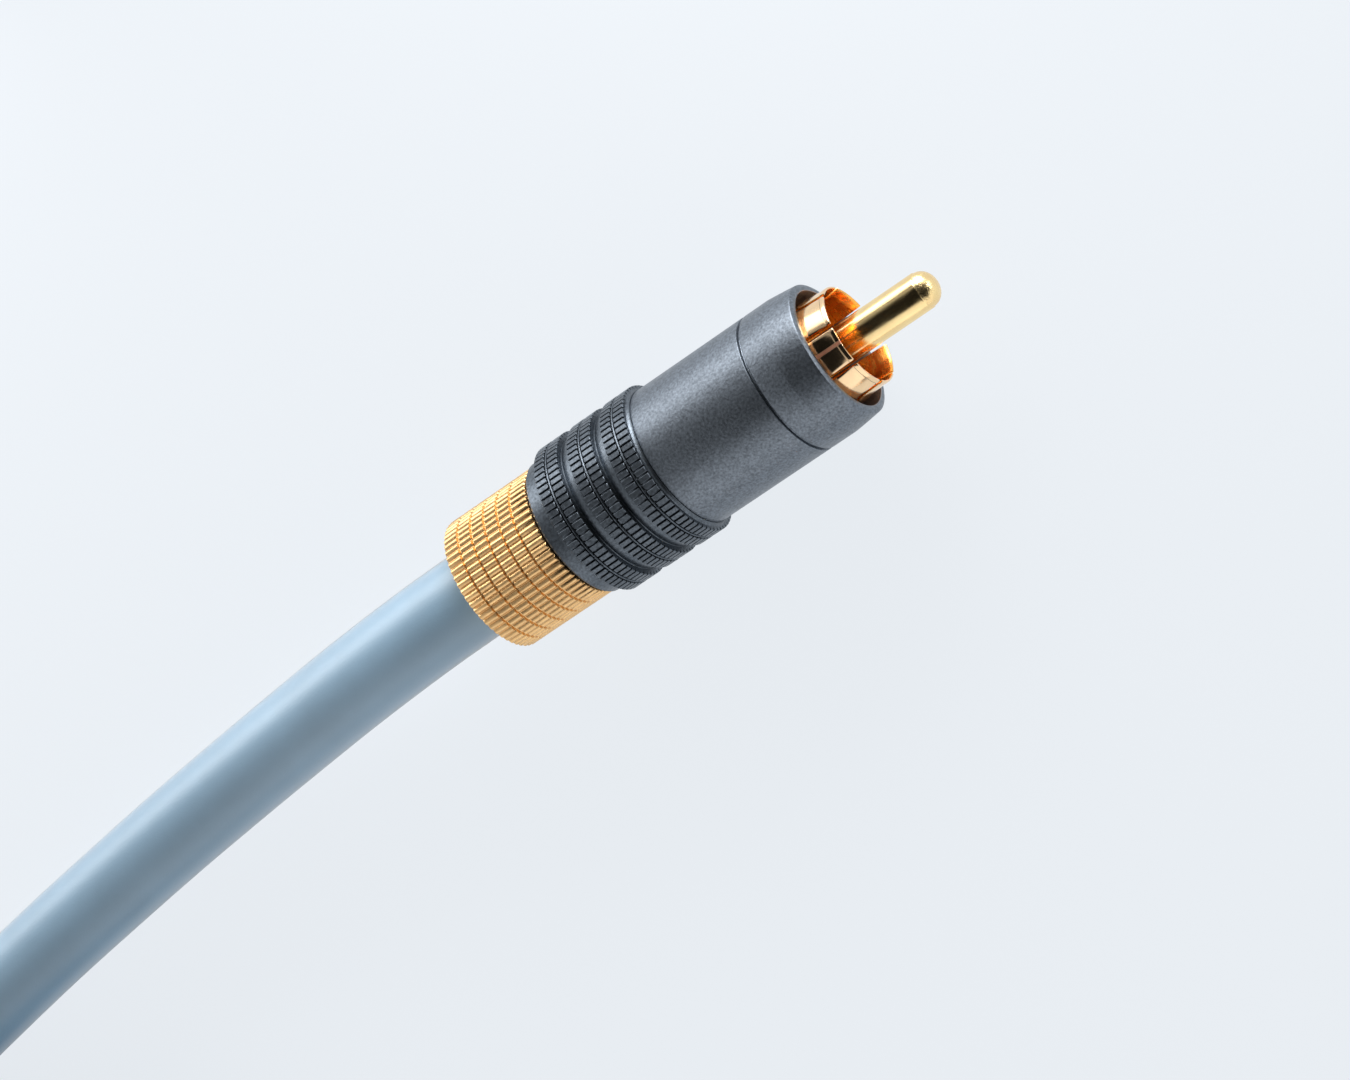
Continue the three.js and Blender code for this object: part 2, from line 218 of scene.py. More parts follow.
def between(tree, value, low, high):
    """A colour from low to high by the value."""
    ramp = tree.nodes.new("ShaderNodeValToRGB")
    ramp.color_ramp.elements[0].color = (*low, 1)
    ramp.color_ramp.elements[1].color = (*high, 1)
    ramp.color_ramp.elements[0].position = NOISE_LOW
    ramp.color_ramp.elements[1].position = NOISE_HIGH
    tree.links.new(value, ramp.inputs["Fac"])
    return ramp.outputs["Color"]


def bump(tree, height, depth):
    """A bump of depth metres from a height."""
    node = tree.nodes.new("ShaderNodeBump")
    node.inputs["Distance"].default_value = depth
    node.inputs["Strength"].default_value = 1
    tree.links.new(height, node.inputs["Height"])
    return node.outputs["Normal"]


def combine(tree, operation, first, second):
    """Two values joined by a math operation; the second may be a plain number."""
    node = tree.nodes.new("ShaderNodeMath")
    node.operation = operation
    tree.links.new(first, node.inputs[0])
    if isinstance(second, (int, float)):
        node.inputs[1].default_value = second
    else:
        tree.links.new(second, node.inputs[1])
    return node.outputs["Value"]


def tint(tree, shader, value, tone, low, high):
    """Gives the shader a colour between two shades of the tone, by the value."""
    mixed = between(tree, value, shade(tone, low), shade(tone, high))
    tree.links.new(mixed, shader.inputs["Base Color"])


def shade(tone, factor):
    """A colour made lighter or darker."""
    return tuple(min(1, channel * factor) for channel in tone)


# Finishes


def blasted_metal(name, tone, roughness, grain_depth):
    """Grey metal blasted with fine beads."""
    material, tree, shader = new_material(name)
    place = place_on_piece(tree)
    grain = noise(tree, place, scale=4600, detail=3, roughness=0.65)
    patches = noise(tree, place, scale=420, detail=4, roughness=0.6)
    tint(tree, shader, grain, tone, low=0.62, high=1.4)
    tree.links.new(
        spread(tree, patches, roughness - 0.03, roughness + 0.03), shader.inputs["Roughness"]
    )
    tree.links.new(bump(tree, grain, grain_depth), shader.inputs["Normal"])
    shader.inputs["Metallic"].default_value = 1
    return material


def plated_metal(name, tone, roughness, marks_depth, stretch):
    """Polished plating with fine turning marks."""
    material, tree, shader = new_material(name)
    marks = noise(tree, place_on_piece(tree, stretch), scale=2600, detail=4, roughness=0.65)
    stains = noise(tree, place_on_piece(tree), scale=700, detail=3, roughness=0.6)
    tint(tree, shader, stains, tone, low=0.93, high=1.05)
    tree.links.new(
        spread(tree, marks, roughness * 0.7, roughness * 1.4), shader.inputs["Roughness"]
    )
    tree.links.new(bump(tree, marks, marks_depth), shader.inputs["Normal"])
    shader.inputs["Metallic"].default_value = 1
    return material


def painted_reflection_streak(material, tone, across, half_width, above):
    """A painted reflection: a reddish, rougher streak along the top of a plated piece, at a distance
    across from the world's axis.
    """
    tree = material.node_tree
    shader = [node for node in tree.nodes if node.type == "BSDF_PRINCIPLED"][0]
    place = tree.nodes.new("ShaderNodeSeparateXYZ")
    tree.links.new(place_on_piece(tree), place.inputs["Vector"])
    offset = combine(tree, "SUBTRACT", place.outputs["Y"], across)
    away = combine(tree, "ABSOLUTE", offset, 0)
    inside = spread(tree, away, 1, 0, half_width * 0.5, half_width)
    high = spread(tree, place.outputs["Z"], 0, 1, above, above + 0.1 * MM)
    mask = combine(tree, "MULTIPLY", inside, high)
    # Inside the streak: the painted reflection colour and a rougher finish
    for socket, streak_setting in (("Base Color", (*tone, 1)), ("Roughness", 0.5)):
        mix = tree.nodes.new("ShaderNodeMix")
        mix.data_type = "RGBA" if socket == "Base Color" else "FLOAT"
        first, second = [entry for entry in mix.inputs if entry.enabled][1:3]
        second.default_value = streak_setting
        tree.links.new(mask, mix.inputs["Factor"])
        tree.links.new(shader.inputs[socket].links[0].from_socket, first)
        result = [entry for entry in mix.outputs if entry.enabled][0]
        tree.links.new(result, shader.inputs[socket])


def jacket_plastic(name, tone):
    """Matt flexible jacket with a fine grain and a powdery bloom."""
    material, tree, shader = new_material(name)
    place = place_on_piece(tree)
    mottle = noise(tree, place, scale=160, detail=4, roughness=0.6)
    skin = noise(tree, place, scale=5000, detail=3, roughness=0.6)
    tint(tree, shader, mottle, tone, low=0.94, high=1.06)
    tree.links.new(spread(tree, skin, 0.38, 0.48), shader.inputs["Roughness"])
    tree.links.new(bump(tree, skin, 0.014 * MM), shader.inputs["Normal"])
    shader.inputs["Specular IOR Level"].default_value = 0.8
    shader.inputs["Coat Weight"].default_value = 0.8
    shader.inputs["Coat Roughness"].default_value = 0.4
    shader.inputs["Sheen Weight"].default_value = 1
    shader.inputs["Sheen Roughness"].default_value = 0.4
    return material


def moulded_plastic(name, tone, roughness):
    """Plain moulded plastic with a fine orange peel."""
    material, tree, shader = new_material(name)
    place = place_on_piece(tree)
    peel = noise(tree, place, scale=2400, detail=3, roughness=0.5)
    tint(tree, shader, peel, tone, low=0.94, high=1.04)
    tree.links.new(spread(tree, peel, roughness - 0.05, roughness + 0.05), shader.inputs["Roughness"])
    tree.links.new(bump(tree, peel, 0.01 * MM), shader.inputs["Normal"])
    return material


def braided_wire(name, tone):
    """Fine wires that cross each other along the plug, with painted shade in the hollows between them.
    """
    material, tree, shader = new_material(name)
    heights = []
    for slant in (1, -1):
        place = place_on_piece(tree, (1, 1, slant))
        wave = tree.nodes.new("ShaderNodeTexWave")
        wave.bands_direction = "DIAGONAL"
        wave.inputs["Scale"].default_value = 900
        wave.inputs["Distortion"].default_value = 0.6
        tree.links.new(place, wave.inputs["Vector"])
        heights.append(wave.outputs["Fac"])
    height = combine(tree, "MAXIMUM", *heights)
    # Painted shade: darker between the wires, where the braid is low
    tint(tree, shader, height, tone, low=0.45, high=1)
    tree.links.new(spread(tree, height, 0.55, 0.3), shader.inputs["Roughness"])
    tree.links.new(bump(tree, height, 0.08 * MM), shader.inputs["Normal"])
    shader.inputs["Metallic"].default_value = 1
    return material


# Mesh helpers


def turned(mesh, outline, steps, closed=True):
    """Spins an outline of (x, radius) points about the plug's axis."""
    corners = [mesh.verts.new((x, 0, radius)) for x, radius in outline]
    edges = [mesh.edges.new(pair) for pair in zip(corners, corners[1:])]
    if closed:
        edges.append(mesh.edges.new((corners[-1], corners[0])))
    bmesh.ops.spin(
        mesh,
        geom=corners + edges,
        cent=(0, 0, 0),
        axis=(1, 0, 0),
        dvec=(0, 0, 0),
        angle=math.tau,
        steps=steps,
        use_merge=True,
        use_duplicate=False,
    )


def softened(outline, reach):
    """The closed outline with each corner rounded off within reach of it."""
    points = []
    count = len(outline)
    for i, corner in enumerate(outline):
        here = Vector(corner)
        before = Vector(outline[i - 1]) - here
        after = Vector(outline[(i + 1) % count]) - here
        bend = math.pi - before.angle(after)
        cut = min(reach, CORNER_SHARE * before.length, CORNER_SHARE * after.length)
        if bend < CORNER_BEND or cut < CORNER_CUT:
            points.append(tuple(here))
            continue
        start = here + before.normalized() * cut
        end = here + after.normalized() * cut
        for k in range(CORNER_SEGMENTS + 1):
            t = k / CORNER_SEGMENTS
            points.append(tuple(start.lerp(here, t).lerp(here.lerp(end, t), t)))
    return points


def fluted(mesh, outline, count, tooth):
    """Ridges round a closed outline of (x, valley radius, ridge radius) points.

    tooth holds (share of a pitch, height from valley to ridge) pairs across one ridge.
    """
    row = mesh.verts.layers.int.new("row")
    pitch = math.tau / count

    def settle(corner, share, height):
        x, valley, ridge = outline[corner[row]]
        radius = valley + (ridge - valley) * height
        turn = share * pitch
        corner.co = (x, radius * math.sin(turn), -radius * math.cos(turn))

    corners = []
    for i in range(len(outline)):
        corner = mesh.verts.new()
        corner[row] = i
        settle(corner, *tooth[0])
        corners.append(corner)
    edges = [mesh.edges.new((corners[i - 1], corners[i])) for i in range(len(corners))]
    for share, height in tooth[1:]:
        made = bmesh.ops.extrude_edge_only(mesh, edges=edges)["geom"]
        for corner in made:
            if isinstance(corner, bmesh.types.BMVert):
                settle(corner, share, height)
        edges = [edge for edge in made if isinstance(edge, bmesh.types.BMEdge)
                 and edge.verts[0][row] != edge.verts[1][row]]
    bmesh.ops.spin(
        mesh,
        geom=mesh.verts[:] + mesh.edges[:] + mesh.faces[:],
        cent=(0, 0, 0),
        axis=(1, 0, 0),
        dvec=(0, 0, 0),
        angle=pitch * (count - 1),
        steps=count - 1,
        use_merge=False,
        use_duplicate=True,
    )


def faces_inward(face):
    """Whether a face looks at the plug's axis or along its ring."""
    outward = face.calc_center_median() * Vector((0, 1, 1))
    facing = face.normal.dot(outward.normalized())
    return facing < -INWARD_LIMIT or (facing < INWARD_LIMIT and abs(face.normal.x) < INWARD_LIMIT)


def finish_piece(mesh, end, name, material, replaced, second=None, chosen=None):
    """Cleans the mesh, moves it to its plug and makes it a piece of the lead.

    The faces that chosen picks get the second material.
    """
    bmesh.ops.remove_doubles(mesh, verts=mesh.verts, dist=FACE_MERGE)
    bmesh.ops.dissolve_degenerate(mesh, dist=FACE_MERGE, edges=mesh.edges)
    bmesh.ops.recalc_face_normals(mesh, faces=mesh.faces)
    for face in mesh.faces:
        face.smooth = True
        face.material_index = 1 if second and chosen(face) else 0
    bmesh.ops.translate(mesh, verts=mesh.verts, vec=plug_place(end))
    data = bpy.data.meshes.new(f"{end}_{name}")
    mesh.to_mesh(data)
    mesh.free()
    data.set_sharp_from_angle(angle=SHARP_ANGLE)
    data.materials.append(material)
    if second:
        data.materials.append(second)
    piece = bpy.data.objects.new(f"{end}_{name}", data)
    bpy.context.scene.collection.objects.link(piece)
    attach(piece, "root")
    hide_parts(f"{end}_{replaced}")


def plug_place(end):
    """Where the front edge of a plug's sleeve meets its axis."""
    low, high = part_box(f"{end}_sleeve")
    return Vector((high.x, (low.y + high.y) / 2, (low.z + high.z) / 2))


def in_metres(points):
    """Points given in millimetres, in metres."""
    return [tuple(value * MM for value in point) for point in points]


# Camera

CAMERA_OFFSET = (0.1342, -0.0053, 0.356)
CAMERA_RIGHT = (0.7612, -0.5577, -0.3309)
CAMERA_BACK = (0.3987, 0, 0.9171)
SENSOR_WIDTH = 36
NEAREST_SEEN = 0.01


class AUDIOLEAD_OT_camera(Operator):
    """Place the camera above the near plug"""

    bl_idname = "audio_lead.camera"
    bl_label = "Camera"

    def execute(self, context):
        studio = context.scene.lead_studio
        data = bpy.data.cameras.new("lead_camera")
        data.lens = studio.lens
        data.sensor_fit = "HORIZONTAL"
        data.sensor_width = SENSOR_WIDTH
        data.clip_start = NEAREST_SEEN
        camera = bpy.data.objects.new("lead_camera", data)
        right = Vector(CAMERA_RIGHT).normalized()
        back = Vector(CAMERA_BACK).normalized()
        up = back.cross(right).normalized()
        turn = Matrix((right, up, back)).transposed()
        place = plug_place("near") + Vector(CAMERA_OFFSET)
        camera.matrix_world = Matrix.Translation(place) @ turn.to_4x4()
        context.scene.collection.objects.link(camera)
        context.scene.camera = camera
        return {"FINISHED"}


# Cable: the route from the near plug, the coil and the route to the far plug

LEAD_POINTS = (
    (-11.04, 0, 6.7), (-17.2, 0, 6.7), (-23.1, 0, 6.7), (-30, -0.1, 6.6), (-38, -0.45, 6),
    (-46, -1, 5.1), (-54, -1.65, 4.4), (-62, -2.4, 4.05), (-70, -3.3, 3.8), (-78, -4.3, 3.8),
    (-86, -5.5, 3.8), (-93.8, -6.8, 3.8), (-101.6, -8.3, 3.8), (-109.2, -10.3, 3.8),
    (-116.7, -12.9, 3.8), (-124, -16.1, 3.8), (-130.8, -20.1, 3.8), (-137.1, -24.9, 3.8),
    (-142.7, -30.5, 3.8),
)
TAIL_POINTS = (
    (8, 10.8), (18, 11.4), (26, 10.5), (34, 8.8), (42, 7.5), (50, 6.85), (57, 6.7), (62, 6.7),
    (68, 6.7), (73.8, 6.7),
)
COIL_CENTRE = (-109.3, -59.2)

# Heights of the cable's middle on the floor, above the floor's turns and over the last crossing
FLOOR_HEIGHT = 3.8
NEST_RISE = 6.582
CROSSING_HEIGHT = 11.4

# Angles in degrees: where the coil starts, how far it is wound and where the cable changes place
COIL_START = 150.5
COIL_WOUND = 839.5
COIL_STEPS = 84
INNER_LANE = (290, 350)
NESTED_LANE = (585, 645)
CROSSING_UP = (640, 672)
CROSSING_DOWN = (690, 722)


def eased(value, start, end):
    """0 before start, 1 after end and smooth between them."""
    t = min(1, max(0, (value - start) / (end - start)))
    return t * t * (3 - 2 * t)


def coil_points(sizes):
    """The turns, as they are laid: two on the floor, one nested on them."""
    outer = sizes.outer_lane / MM
    step = sizes.lane_step / MM
    over = CROSSING_HEIGHT - FLOOR_HEIGHT - NEST_RISE
    points = []
    for i in range(COIL_STEPS + 1):
        wound = COIL_WOUND * i / COIL_STEPS
        nested = eased(wound, *NESTED_LANE)
        radius = outer - step * eased(wound, *INNER_LANE) + step / 2 * nested
        height = FLOOR_HEIGHT + NEST_RISE * nested
        height += over * eased(wound, *CROSSING_UP) * (1 - eased(wound, *CROSSING_DOWN))
        turn = math.radians(COIL_START + wound)
        points.append((
            COIL_CENTRE[0] + radius * math.cos(turn),
            COIL_CENTRE[1] + radius * math.sin(turn),
            height,
        ))
    return points


def smooth_route(points, pieces=6):
    """Closer points on a smooth curve through the points."""
    route = []
    for i in range(len(points) - 1):
        a = points[max(0, i - 1)]
        b = points[i]
        c = points[i + 1]
        d = points[min(len(points) - 1, i + 2)]
        for k in range(pieces):
            t = k / pieces
            cubic = 3 * (b - c) + d - a
            square = 2 * a - 5 * b + 4 * c - d
            route.append(b + 0.5 * t * ((c - a) + t * (square + t * cubic)))
    route.append(points[-1])
    return route


class AUDIOLEAD_OT_cable(Operator):
    """Lay the cable from the near plug through the coil to the far plug"""

    bl_idname = "audio_lead.cable"
    bl_label = "Cable"

    def execute(self, context):
        sizes = context.scene.lead_cable
        middle = (sizes.outer_lane - sizes.lane_step / 2) / MM
        tail = [(COIL_CENTRE[0] + x, COIL_CENTRE[1] - middle, z) for x, z in TAIL_POINTS]
        points = [*LEAD_POINTS, *coil_points(sizes), *tail]
        route = smooth_route([Vector(point) * MM for point in points])
        data = bpy.data.curves.new("cable", "CURVE")
        data.dimensions = "3D"
        data.bevel_depth = sizes.radius
        data.bevel_resolution = 10
        data.use_fill_caps = True
        line = data.splines.new("POLY")
        line.points.add(len(route) - 1)
        for point, place in zip(line.points, route):
            point.co = (*place, 1)
        line.use_smooth = True
        data.materials.append(jacket_plastic("blue_grey_jacket", context.scene.lead_finishes.jacket))
        cable = bpy.data.objects.new("cable", data)
        context.scene.collection.objects.link(cable)
        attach(cable, "root")
        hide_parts("cable_lead", "cable_coil", "cable_tail")
        return {"FINISHED"}


class AUDIOLEAD_OT_declare_cable(Operator):
    """An empty step: it says nothing about which pieces move with the cable."""

    bl_idname = "audio_lead.declare_cable"
    bl_label = "Cable and its far plug"

    def execute(self, context):
        return {"FINISHED"}


# Plug pieces: sizes in millimetres; outlines are (x, radius) points, or (x, valley, ridge) points

PIN_FACETS = 72
PIN_SHANK = ((-12.5, 0), (-12.5, 0.8), (-15.2, 0.8), (-15.2, 1.25), (-4.45, 1.25))
PIN_STEP = -4.45
DOME_LENGTH = 1.23
DOME_STEP = 0.08
DOME_ROWS = 14

INSULATOR_FACETS = 64
INSULATOR = (
    (-11, 1.4), (-11, 3.05), (-6.6, 3.05), (-6.6, 3.87), (-4.6, 3.87), (-4.6, 1.4),
)

RING_FACETS = 120
PETAL_STEPS = 12
PETAL_EDGE = 0.035
# The painted reflection streak on the ring's top petal: its distance across from the axis and its half
# width
STREAK_ACROSS = 0.24
STREAK_WIDTH = 0.2

# The sleeve's rear spigot, its one fine groove, its bevelled nose and its mouth
SLEEVE_FACETS = 144
SPIGOT_REAR = -19
SPIGOT_FRONT = -16.1
SPIGOT_RADIUS = 5.75
GROOVE_REAR = -5.25
GROOVE_FRONT = -4.94
GROOVE_DEPTH = 0.28
NOSE_START = -2.68
NOSE_LENGTH = 2.52
NOSE_RADIUS = 5.87
NOSE_CURVE = 0.2
NOSE_ROWS = 12
MOUTH_RADIUS = 5.55

GRIP_REAR = (
    (-31.9, 4.05), (-31.9, 4.75), (-31.8, 4.85), (-27.2, 4.85), (-27.2, 5.85), (-27, 6.05),
    (-25.74, 6.05), (-25.68, 6.1),
)
GRIP_FRONT = (
    (-16.38, 6.36), (-16.3, 6.28), (-16.2, 6.22), (-16.1, 6.2), (-16.1, 5.9),
    (-19.15, 5.9), (-19.15, 5), (-24.5, 5), (-24.5, 4.05),
)
BAND_REAR = -25.68
BAND_COUNT = 3
BAND_STEP = 3.44
ROW_STEP = 1.37
ROW_WIDTH = 1.03

# The bead between the two rows of a band, from the rear row's front
BEAD = (
    (0.01, 6.46), (0.06, 6.44), (0.08, 6.58), (0.12, 6.65), (0.18, 6.68), (0.24, 6.65),
    (0.29, 6.56), (0.33, 6.46),
)

# The valley behind the next band: points from the last row's front, then from the next band
VALLEY_REAR = ((0.02, 6.18), (0.1, 6.16), (0.2, 6.2))
VALLEY_FRONT = ((-0.08, 6.45), (-0.01, 6.44))

NUT_GROOVES = 5
NUT_GROOVE_START = -34.55
NUT_GROOVE_STEP = 1.38

# Across one groove of the nut: x, depth below the valleys, depth below the ridges
NUT_GROOVE = ((-0.12, 0, 0), (-0.05, 0.08, 0.21), (0.05, 0.08, 0.21), (0.12, 0, 0))
NUT_BORE = (
    (-27.35, 5, 5), (-32.2, 5, 5), (-34.95, 4.55, 4.55), (-34.95, 4.05, 4.05),
)

# Across one tooth: share of the pitch, height from valley to ridge
GRIP_TOOTH = (
    (-0.5, 0), (-0.41, 0), (-0.35, 0.9), (-0.31, 1), (0.31, 1), (0.35, 0.9), (0.41, 0), (0.5, 0),
)
NUT_RIDGE = (
    (-0.5, 0), (-0.46, 0.02), (-0.36, 0.5), (-0.12, 0.95), (0, 1), (0.12, 0.95), (0.36, 0.5),
    (0.46, 0.02), (0.5, 0),
)


def untoothed(points):
    """Points of (x, radius) for a stretch with no teeth on it."""
    return [(x, radius, radius) for x, radius in points]


class AUDIOLEAD_OT_pins(Operator):
    """Turn the two domed centre pins"""

    bl_idname = "audio_lead.pins"
    bl_label = "Centre pins"

    def execute(self, context):
        sizes = context.scene.lead_plug
        tone = context.scene.lead_finishes.pin_gold
        material = plated_metal(
            "gold_plate_pin", tone, roughness=0.18, marks_depth=0.009 * MM, stretch=(0.12, 1, 1)
        )
        tip_material = plated_metal(
            "gold_plate_pin_tip", tone, roughness=0.26, marks_depth=0.06 * MM, stretch=(0.7, 0.7, 0.7)
        )
        radius = sizes.pin_radius
        edge = sizes.pin_tip - DOME_LENGTH * MM
        dome = radius - DOME_STEP * MM
        outline = in_metres(PIN_SHANK)
        outline += [
            (PIN_STEP * MM, radius),
            (edge - 0.12 * MM, radius),
            (edge - 0.08 * MM, radius - 0.01 * MM),
            (edge - 0.02 * MM, dome + 0.02 * MM),
            (edge, dome),
        ]
        for i in range(1, DOME_ROWS + 1):
            turn = math.pi / 2 * i / DOME_ROWS
            x = edge + (sizes.pin_tip - edge) * math.sin(turn)
            outline.append((x, dome * math.cos(turn) if i < DOME_ROWS else 0))
        for end in ENDS:
            mesh = bmesh.new()
            turned(mesh, outline, PIN_FACETS, closed=False)
            finish_piece(
                mesh, end, "pin", material, "centre_pin",
                tip_material, lambda face: face.calc_center_median().x > edge,
            )
        return {"FINISHED"}


class AUDIOLEAD_OT_insulators(Operator):
    """Turn the two stepped insulators"""

    bl_idname = "audio_lead.insulators"
    bl_label = "Insulators"

    def execute(self, context):
        material = moulded_plastic("white_insulation_bush", (0.86, 0.85, 0.81), roughness=0.5)
        for end in ENDS:
            mesh = bmesh.new()
            turned(mesh, softened(in_metres(INSULATOR), reach=0.15 * MM), INSULATOR_FACETS)
            finish_piece(mesh, end, "insulator", material, "pin_insulator")
        return {"FINISHED"}


class AUDIOLEAD_OT_rings(Operator):
    """Turn the two ground rings and cut their spring petals"""

    bl_idname = "audio_lead.rings"
    bl_label = "Ground rings"

    def execute(self, context):
        sizes = context.scene.lead_plug
        finishes = context.scene.lead_finishes
        material = plated_metal(
            "rose_gold_plate_ring",
            finishes.ring_gold,
            roughness=0.13,
            marks_depth=0.004 * MM,
            stretch=(0.15, 1, 1),
        )
        # Painted reflection: the faces inside the ring and along its slots get a deep orange that
        # stands in for the gold reflecting itself
        bore_reflection_material = plated_metal(
            "rose_gold_plate_bore_painted_reflection",
            finishes.bore_reflection_gold,
            roughness=0.24,
            marks_depth=0.02 * MM,
            stretch=(1, 0.3, 0.3),
        )
        middle = plug_place("near")
        # Paints a reddish reflection streak, which is also rougher, along the ring's top petal
        painted_reflection_streak(
            material,
            finishes.reflection_streak_gold,
            across=middle.y + STREAK_ACROSS * MM,
            half_width=STREAK_WIDTH * MM,
            above=middle.z + sizes.ring_bore,
        )
        bore = sizes.ring_bore / MM
        front = sizes.ring_front / MM
        base = in_metres([
            (-10, 3.2), (-10, 3.95), (-6, 3.95), (-6, 5.1), (-4.9, 5.1), (-4.9, 4.6),
            (-4.2, 4.6), (-4.2, bore), (-6.75, bore), (-6.75, 3.2),
        ])
        petal = in_metres([
            (-4.25, bore), (-4.25, 4.6), (-0.5, 4.58), (-0.3, 4.54), (-0.15, 4.48), (1.6, 4.36),
            (1.66, 4.39), (front - 0.06, 4.36), (front, 4.31), (front, bore + 0.17),
            (front - 0.3, bore + 0.1), (front - 1.2, bore),
        ])
        gap = sizes.ring_slot / (bore * MM + 0.2 * MM)
        pitch = math.tau / sizes.ring_petals
        for end in ENDS:
            mesh = bmesh.new()
            outline = softened(petal, reach=0.06 * MM)
            corners = [mesh.verts.new((x, 0, radius)) for x, radius in outline]
            rim = [mesh.edges.new((corners[i - 1], corners[i])) for i in range(len(corners))]
            bmesh.ops.rotate(
                mesh,
                verts=corners,
                cent=(0, 0, 0),
                matrix=Matrix.Rotation(-(pitch - gap) / 2, 3, "X"),
            )
            made = bmesh.ops.spin(
                mesh,
                geom=corners + rim,
                cent=(0, 0, 0),
                axis=(1, 0, 0),
                dvec=(0, 0, 0),
                angle=pitch - gap,
                steps=PETAL_STEPS,
                use_merge=False,
                use_duplicate=False,
            )
            last = [e for e in made["geom_last"] if isinstance(e, bmesh.types.BMEdge)]
            caps = bmesh.ops.contextual_create(mesh, geom=rim)["faces"]
            caps += bmesh.ops.contextual_create(mesh, geom=last)["faces"]
            bmesh.ops.recalc_face_normals(mesh, faces=mesh.faces)
            sides = {edge for face in caps for edge in face.edges}
            bmesh.ops.bevel(
                mesh,
                geom=list(sides),
                offset=PETAL_EDGE * MM,
                offset_type="OFFSET",
                segments=2,
                profile=0.5,
                affect="EDGES",
                clamp_overlap=True,
                material=-1,
            )
            bmesh.ops.spin(
                mesh,
                geom=mesh.verts[:] + mesh.edges[:] + mesh.faces[:],
                cent=(0, 0, 0),
                axis=(1, 0, 0),
                dvec=(0, 0, 0),
                angle=pitch * (sizes.ring_petals - 1),
                steps=sizes.ring_petals - 1,
                use_merge=False,
                use_duplicate=True,
            )
            turned(mesh, softened(base, reach=0.08 * MM), RING_FACETS)
            finish_piece(
                mesh, end, "ring", material, "ground_ring",
                bore_reflection_material, faces_inward,
            )
        return {"FINISHED"}


class AUDIOLEAD_OT_sleeves(Operator):
    """Turn the two grey sleeves"""

    bl_idname = "audio_lead.sleeves"
    bl_label = "Sleeves"

    def execute(self, context):
        sizes = context.scene.lead_plug
        finishes = context.scene.lead_finishes
        material = blasted_metal(
            "satin_grey_sleeve", finishes.grey_metal, roughness=0.41, grain_depth=0.024 * MM
        )
        # The bore is bare metal with a warm tint that paints the gold ring's reflection
        bore_reflection_material = plated_metal(
            "satin_grey_bore",
            finishes.bore_metal_and_reflection,
            roughness=0.4,
            marks_depth=0.01 * MM,
            stretch=(1, 0.3, 0.3),
        )
        radius = sizes.sleeve_radius / MM
        bore = sizes.sleeve_bore / MM
        drop = radius - NOSE_RADIUS
        outline = [
            (SPIGOT_REAR, bore),
            (SPIGOT_REAR, SPIGOT_RADIUS),
            (SPIGOT_FRONT, SPIGOT_RADIUS),
            (SPIGOT_FRONT, radius - 0.02),
            (SPIGOT_FRONT + 0.2, radius),
            (GROOVE_REAR, radius),
            (GROOVE_REAR + 0.05, radius - GROOVE_DEPTH),
            (GROOVE_FRONT - 0.06, radius - GROOVE_DEPTH),
            (GROOVE_FRONT, radius),
            (NOSE_START - 0.05, radius),
            (NOSE_START, radius),
            (NOSE_START + 0.05, radius - drop * 0.0169),
        ]
        for i in range(1, NOSE_ROWS + 1):
            part = i / NOSE_ROWS
            height = radius - drop * ((1 - NOSE_CURVE) * part + NOSE_CURVE * part ** 2)
            outline.append((NOSE_START + NOSE_LENGTH * part, height))
        outline += [(0, MOUTH_RADIUS), (0, bore + 0.03), (-0.03, bore)]
        for end in ENDS:
            mesh = bmesh.new()
            turned(mesh, softened(in_metres(outline), reach=0.05 * MM), SLEEVE_FACETS)
            finish_piece(
                mesh, end, "sleeve_shell", material, "sleeve",
                bore_reflection_material, faces_inward,
            )
        return {"FINISHED"}


class AUDIOLEAD_OT_grips(Operator):
    """Cut the two toothed grips"""

    bl_idname = "audio_lead.grips"
    bl_label = "Grips"

    def execute(self, context):
        sizes = context.scene.lead_plug
        material = blasted_metal(
            "satin_grey_grip",
            context.scene.lead_finishes.grip_metal,
            roughness=0.38,
            grain_depth=0.012 * MM,
        )
        tip = sizes.tooth_tip / MM
        root = sizes.tooth_root / MM
        outline = untoothed(GRIP_REAR)
        for band in range(BAND_COUNT):
            rear = BAND_REAR + BAND_STEP * band
            for row in range(2):
                start = rear + row * ROW_STEP
                stop = start + ROW_WIDTH
                outline += [
                    (start, root - 0.03, tip - 0.06),
                    (start + 0.05, root, tip),
                    (stop - 0.05, root, tip),
                    (stop, root - 0.03, tip - 0.06),
                ]
                if row == 0:
                    outline += untoothed((stop + x, radius) for x, radius in BEAD)
            if band < BAND_COUNT - 1:
                outline += untoothed((stop + x, radius) for x, radius in VALLEY_REAR)
                outline += untoothed((rear + BAND_STEP + x, radius) for x, radius in VALLEY_FRONT)
        outline += untoothed(GRIP_FRONT)
        for end in ENDS:
            mesh = bmesh.new()
            fluted(mesh, in_metres(outline), sizes.grip_teeth, GRIP_TOOTH)
            finish_piece(mesh, end, "grip", material, "rear_grip")
        return {"FINISHED"}


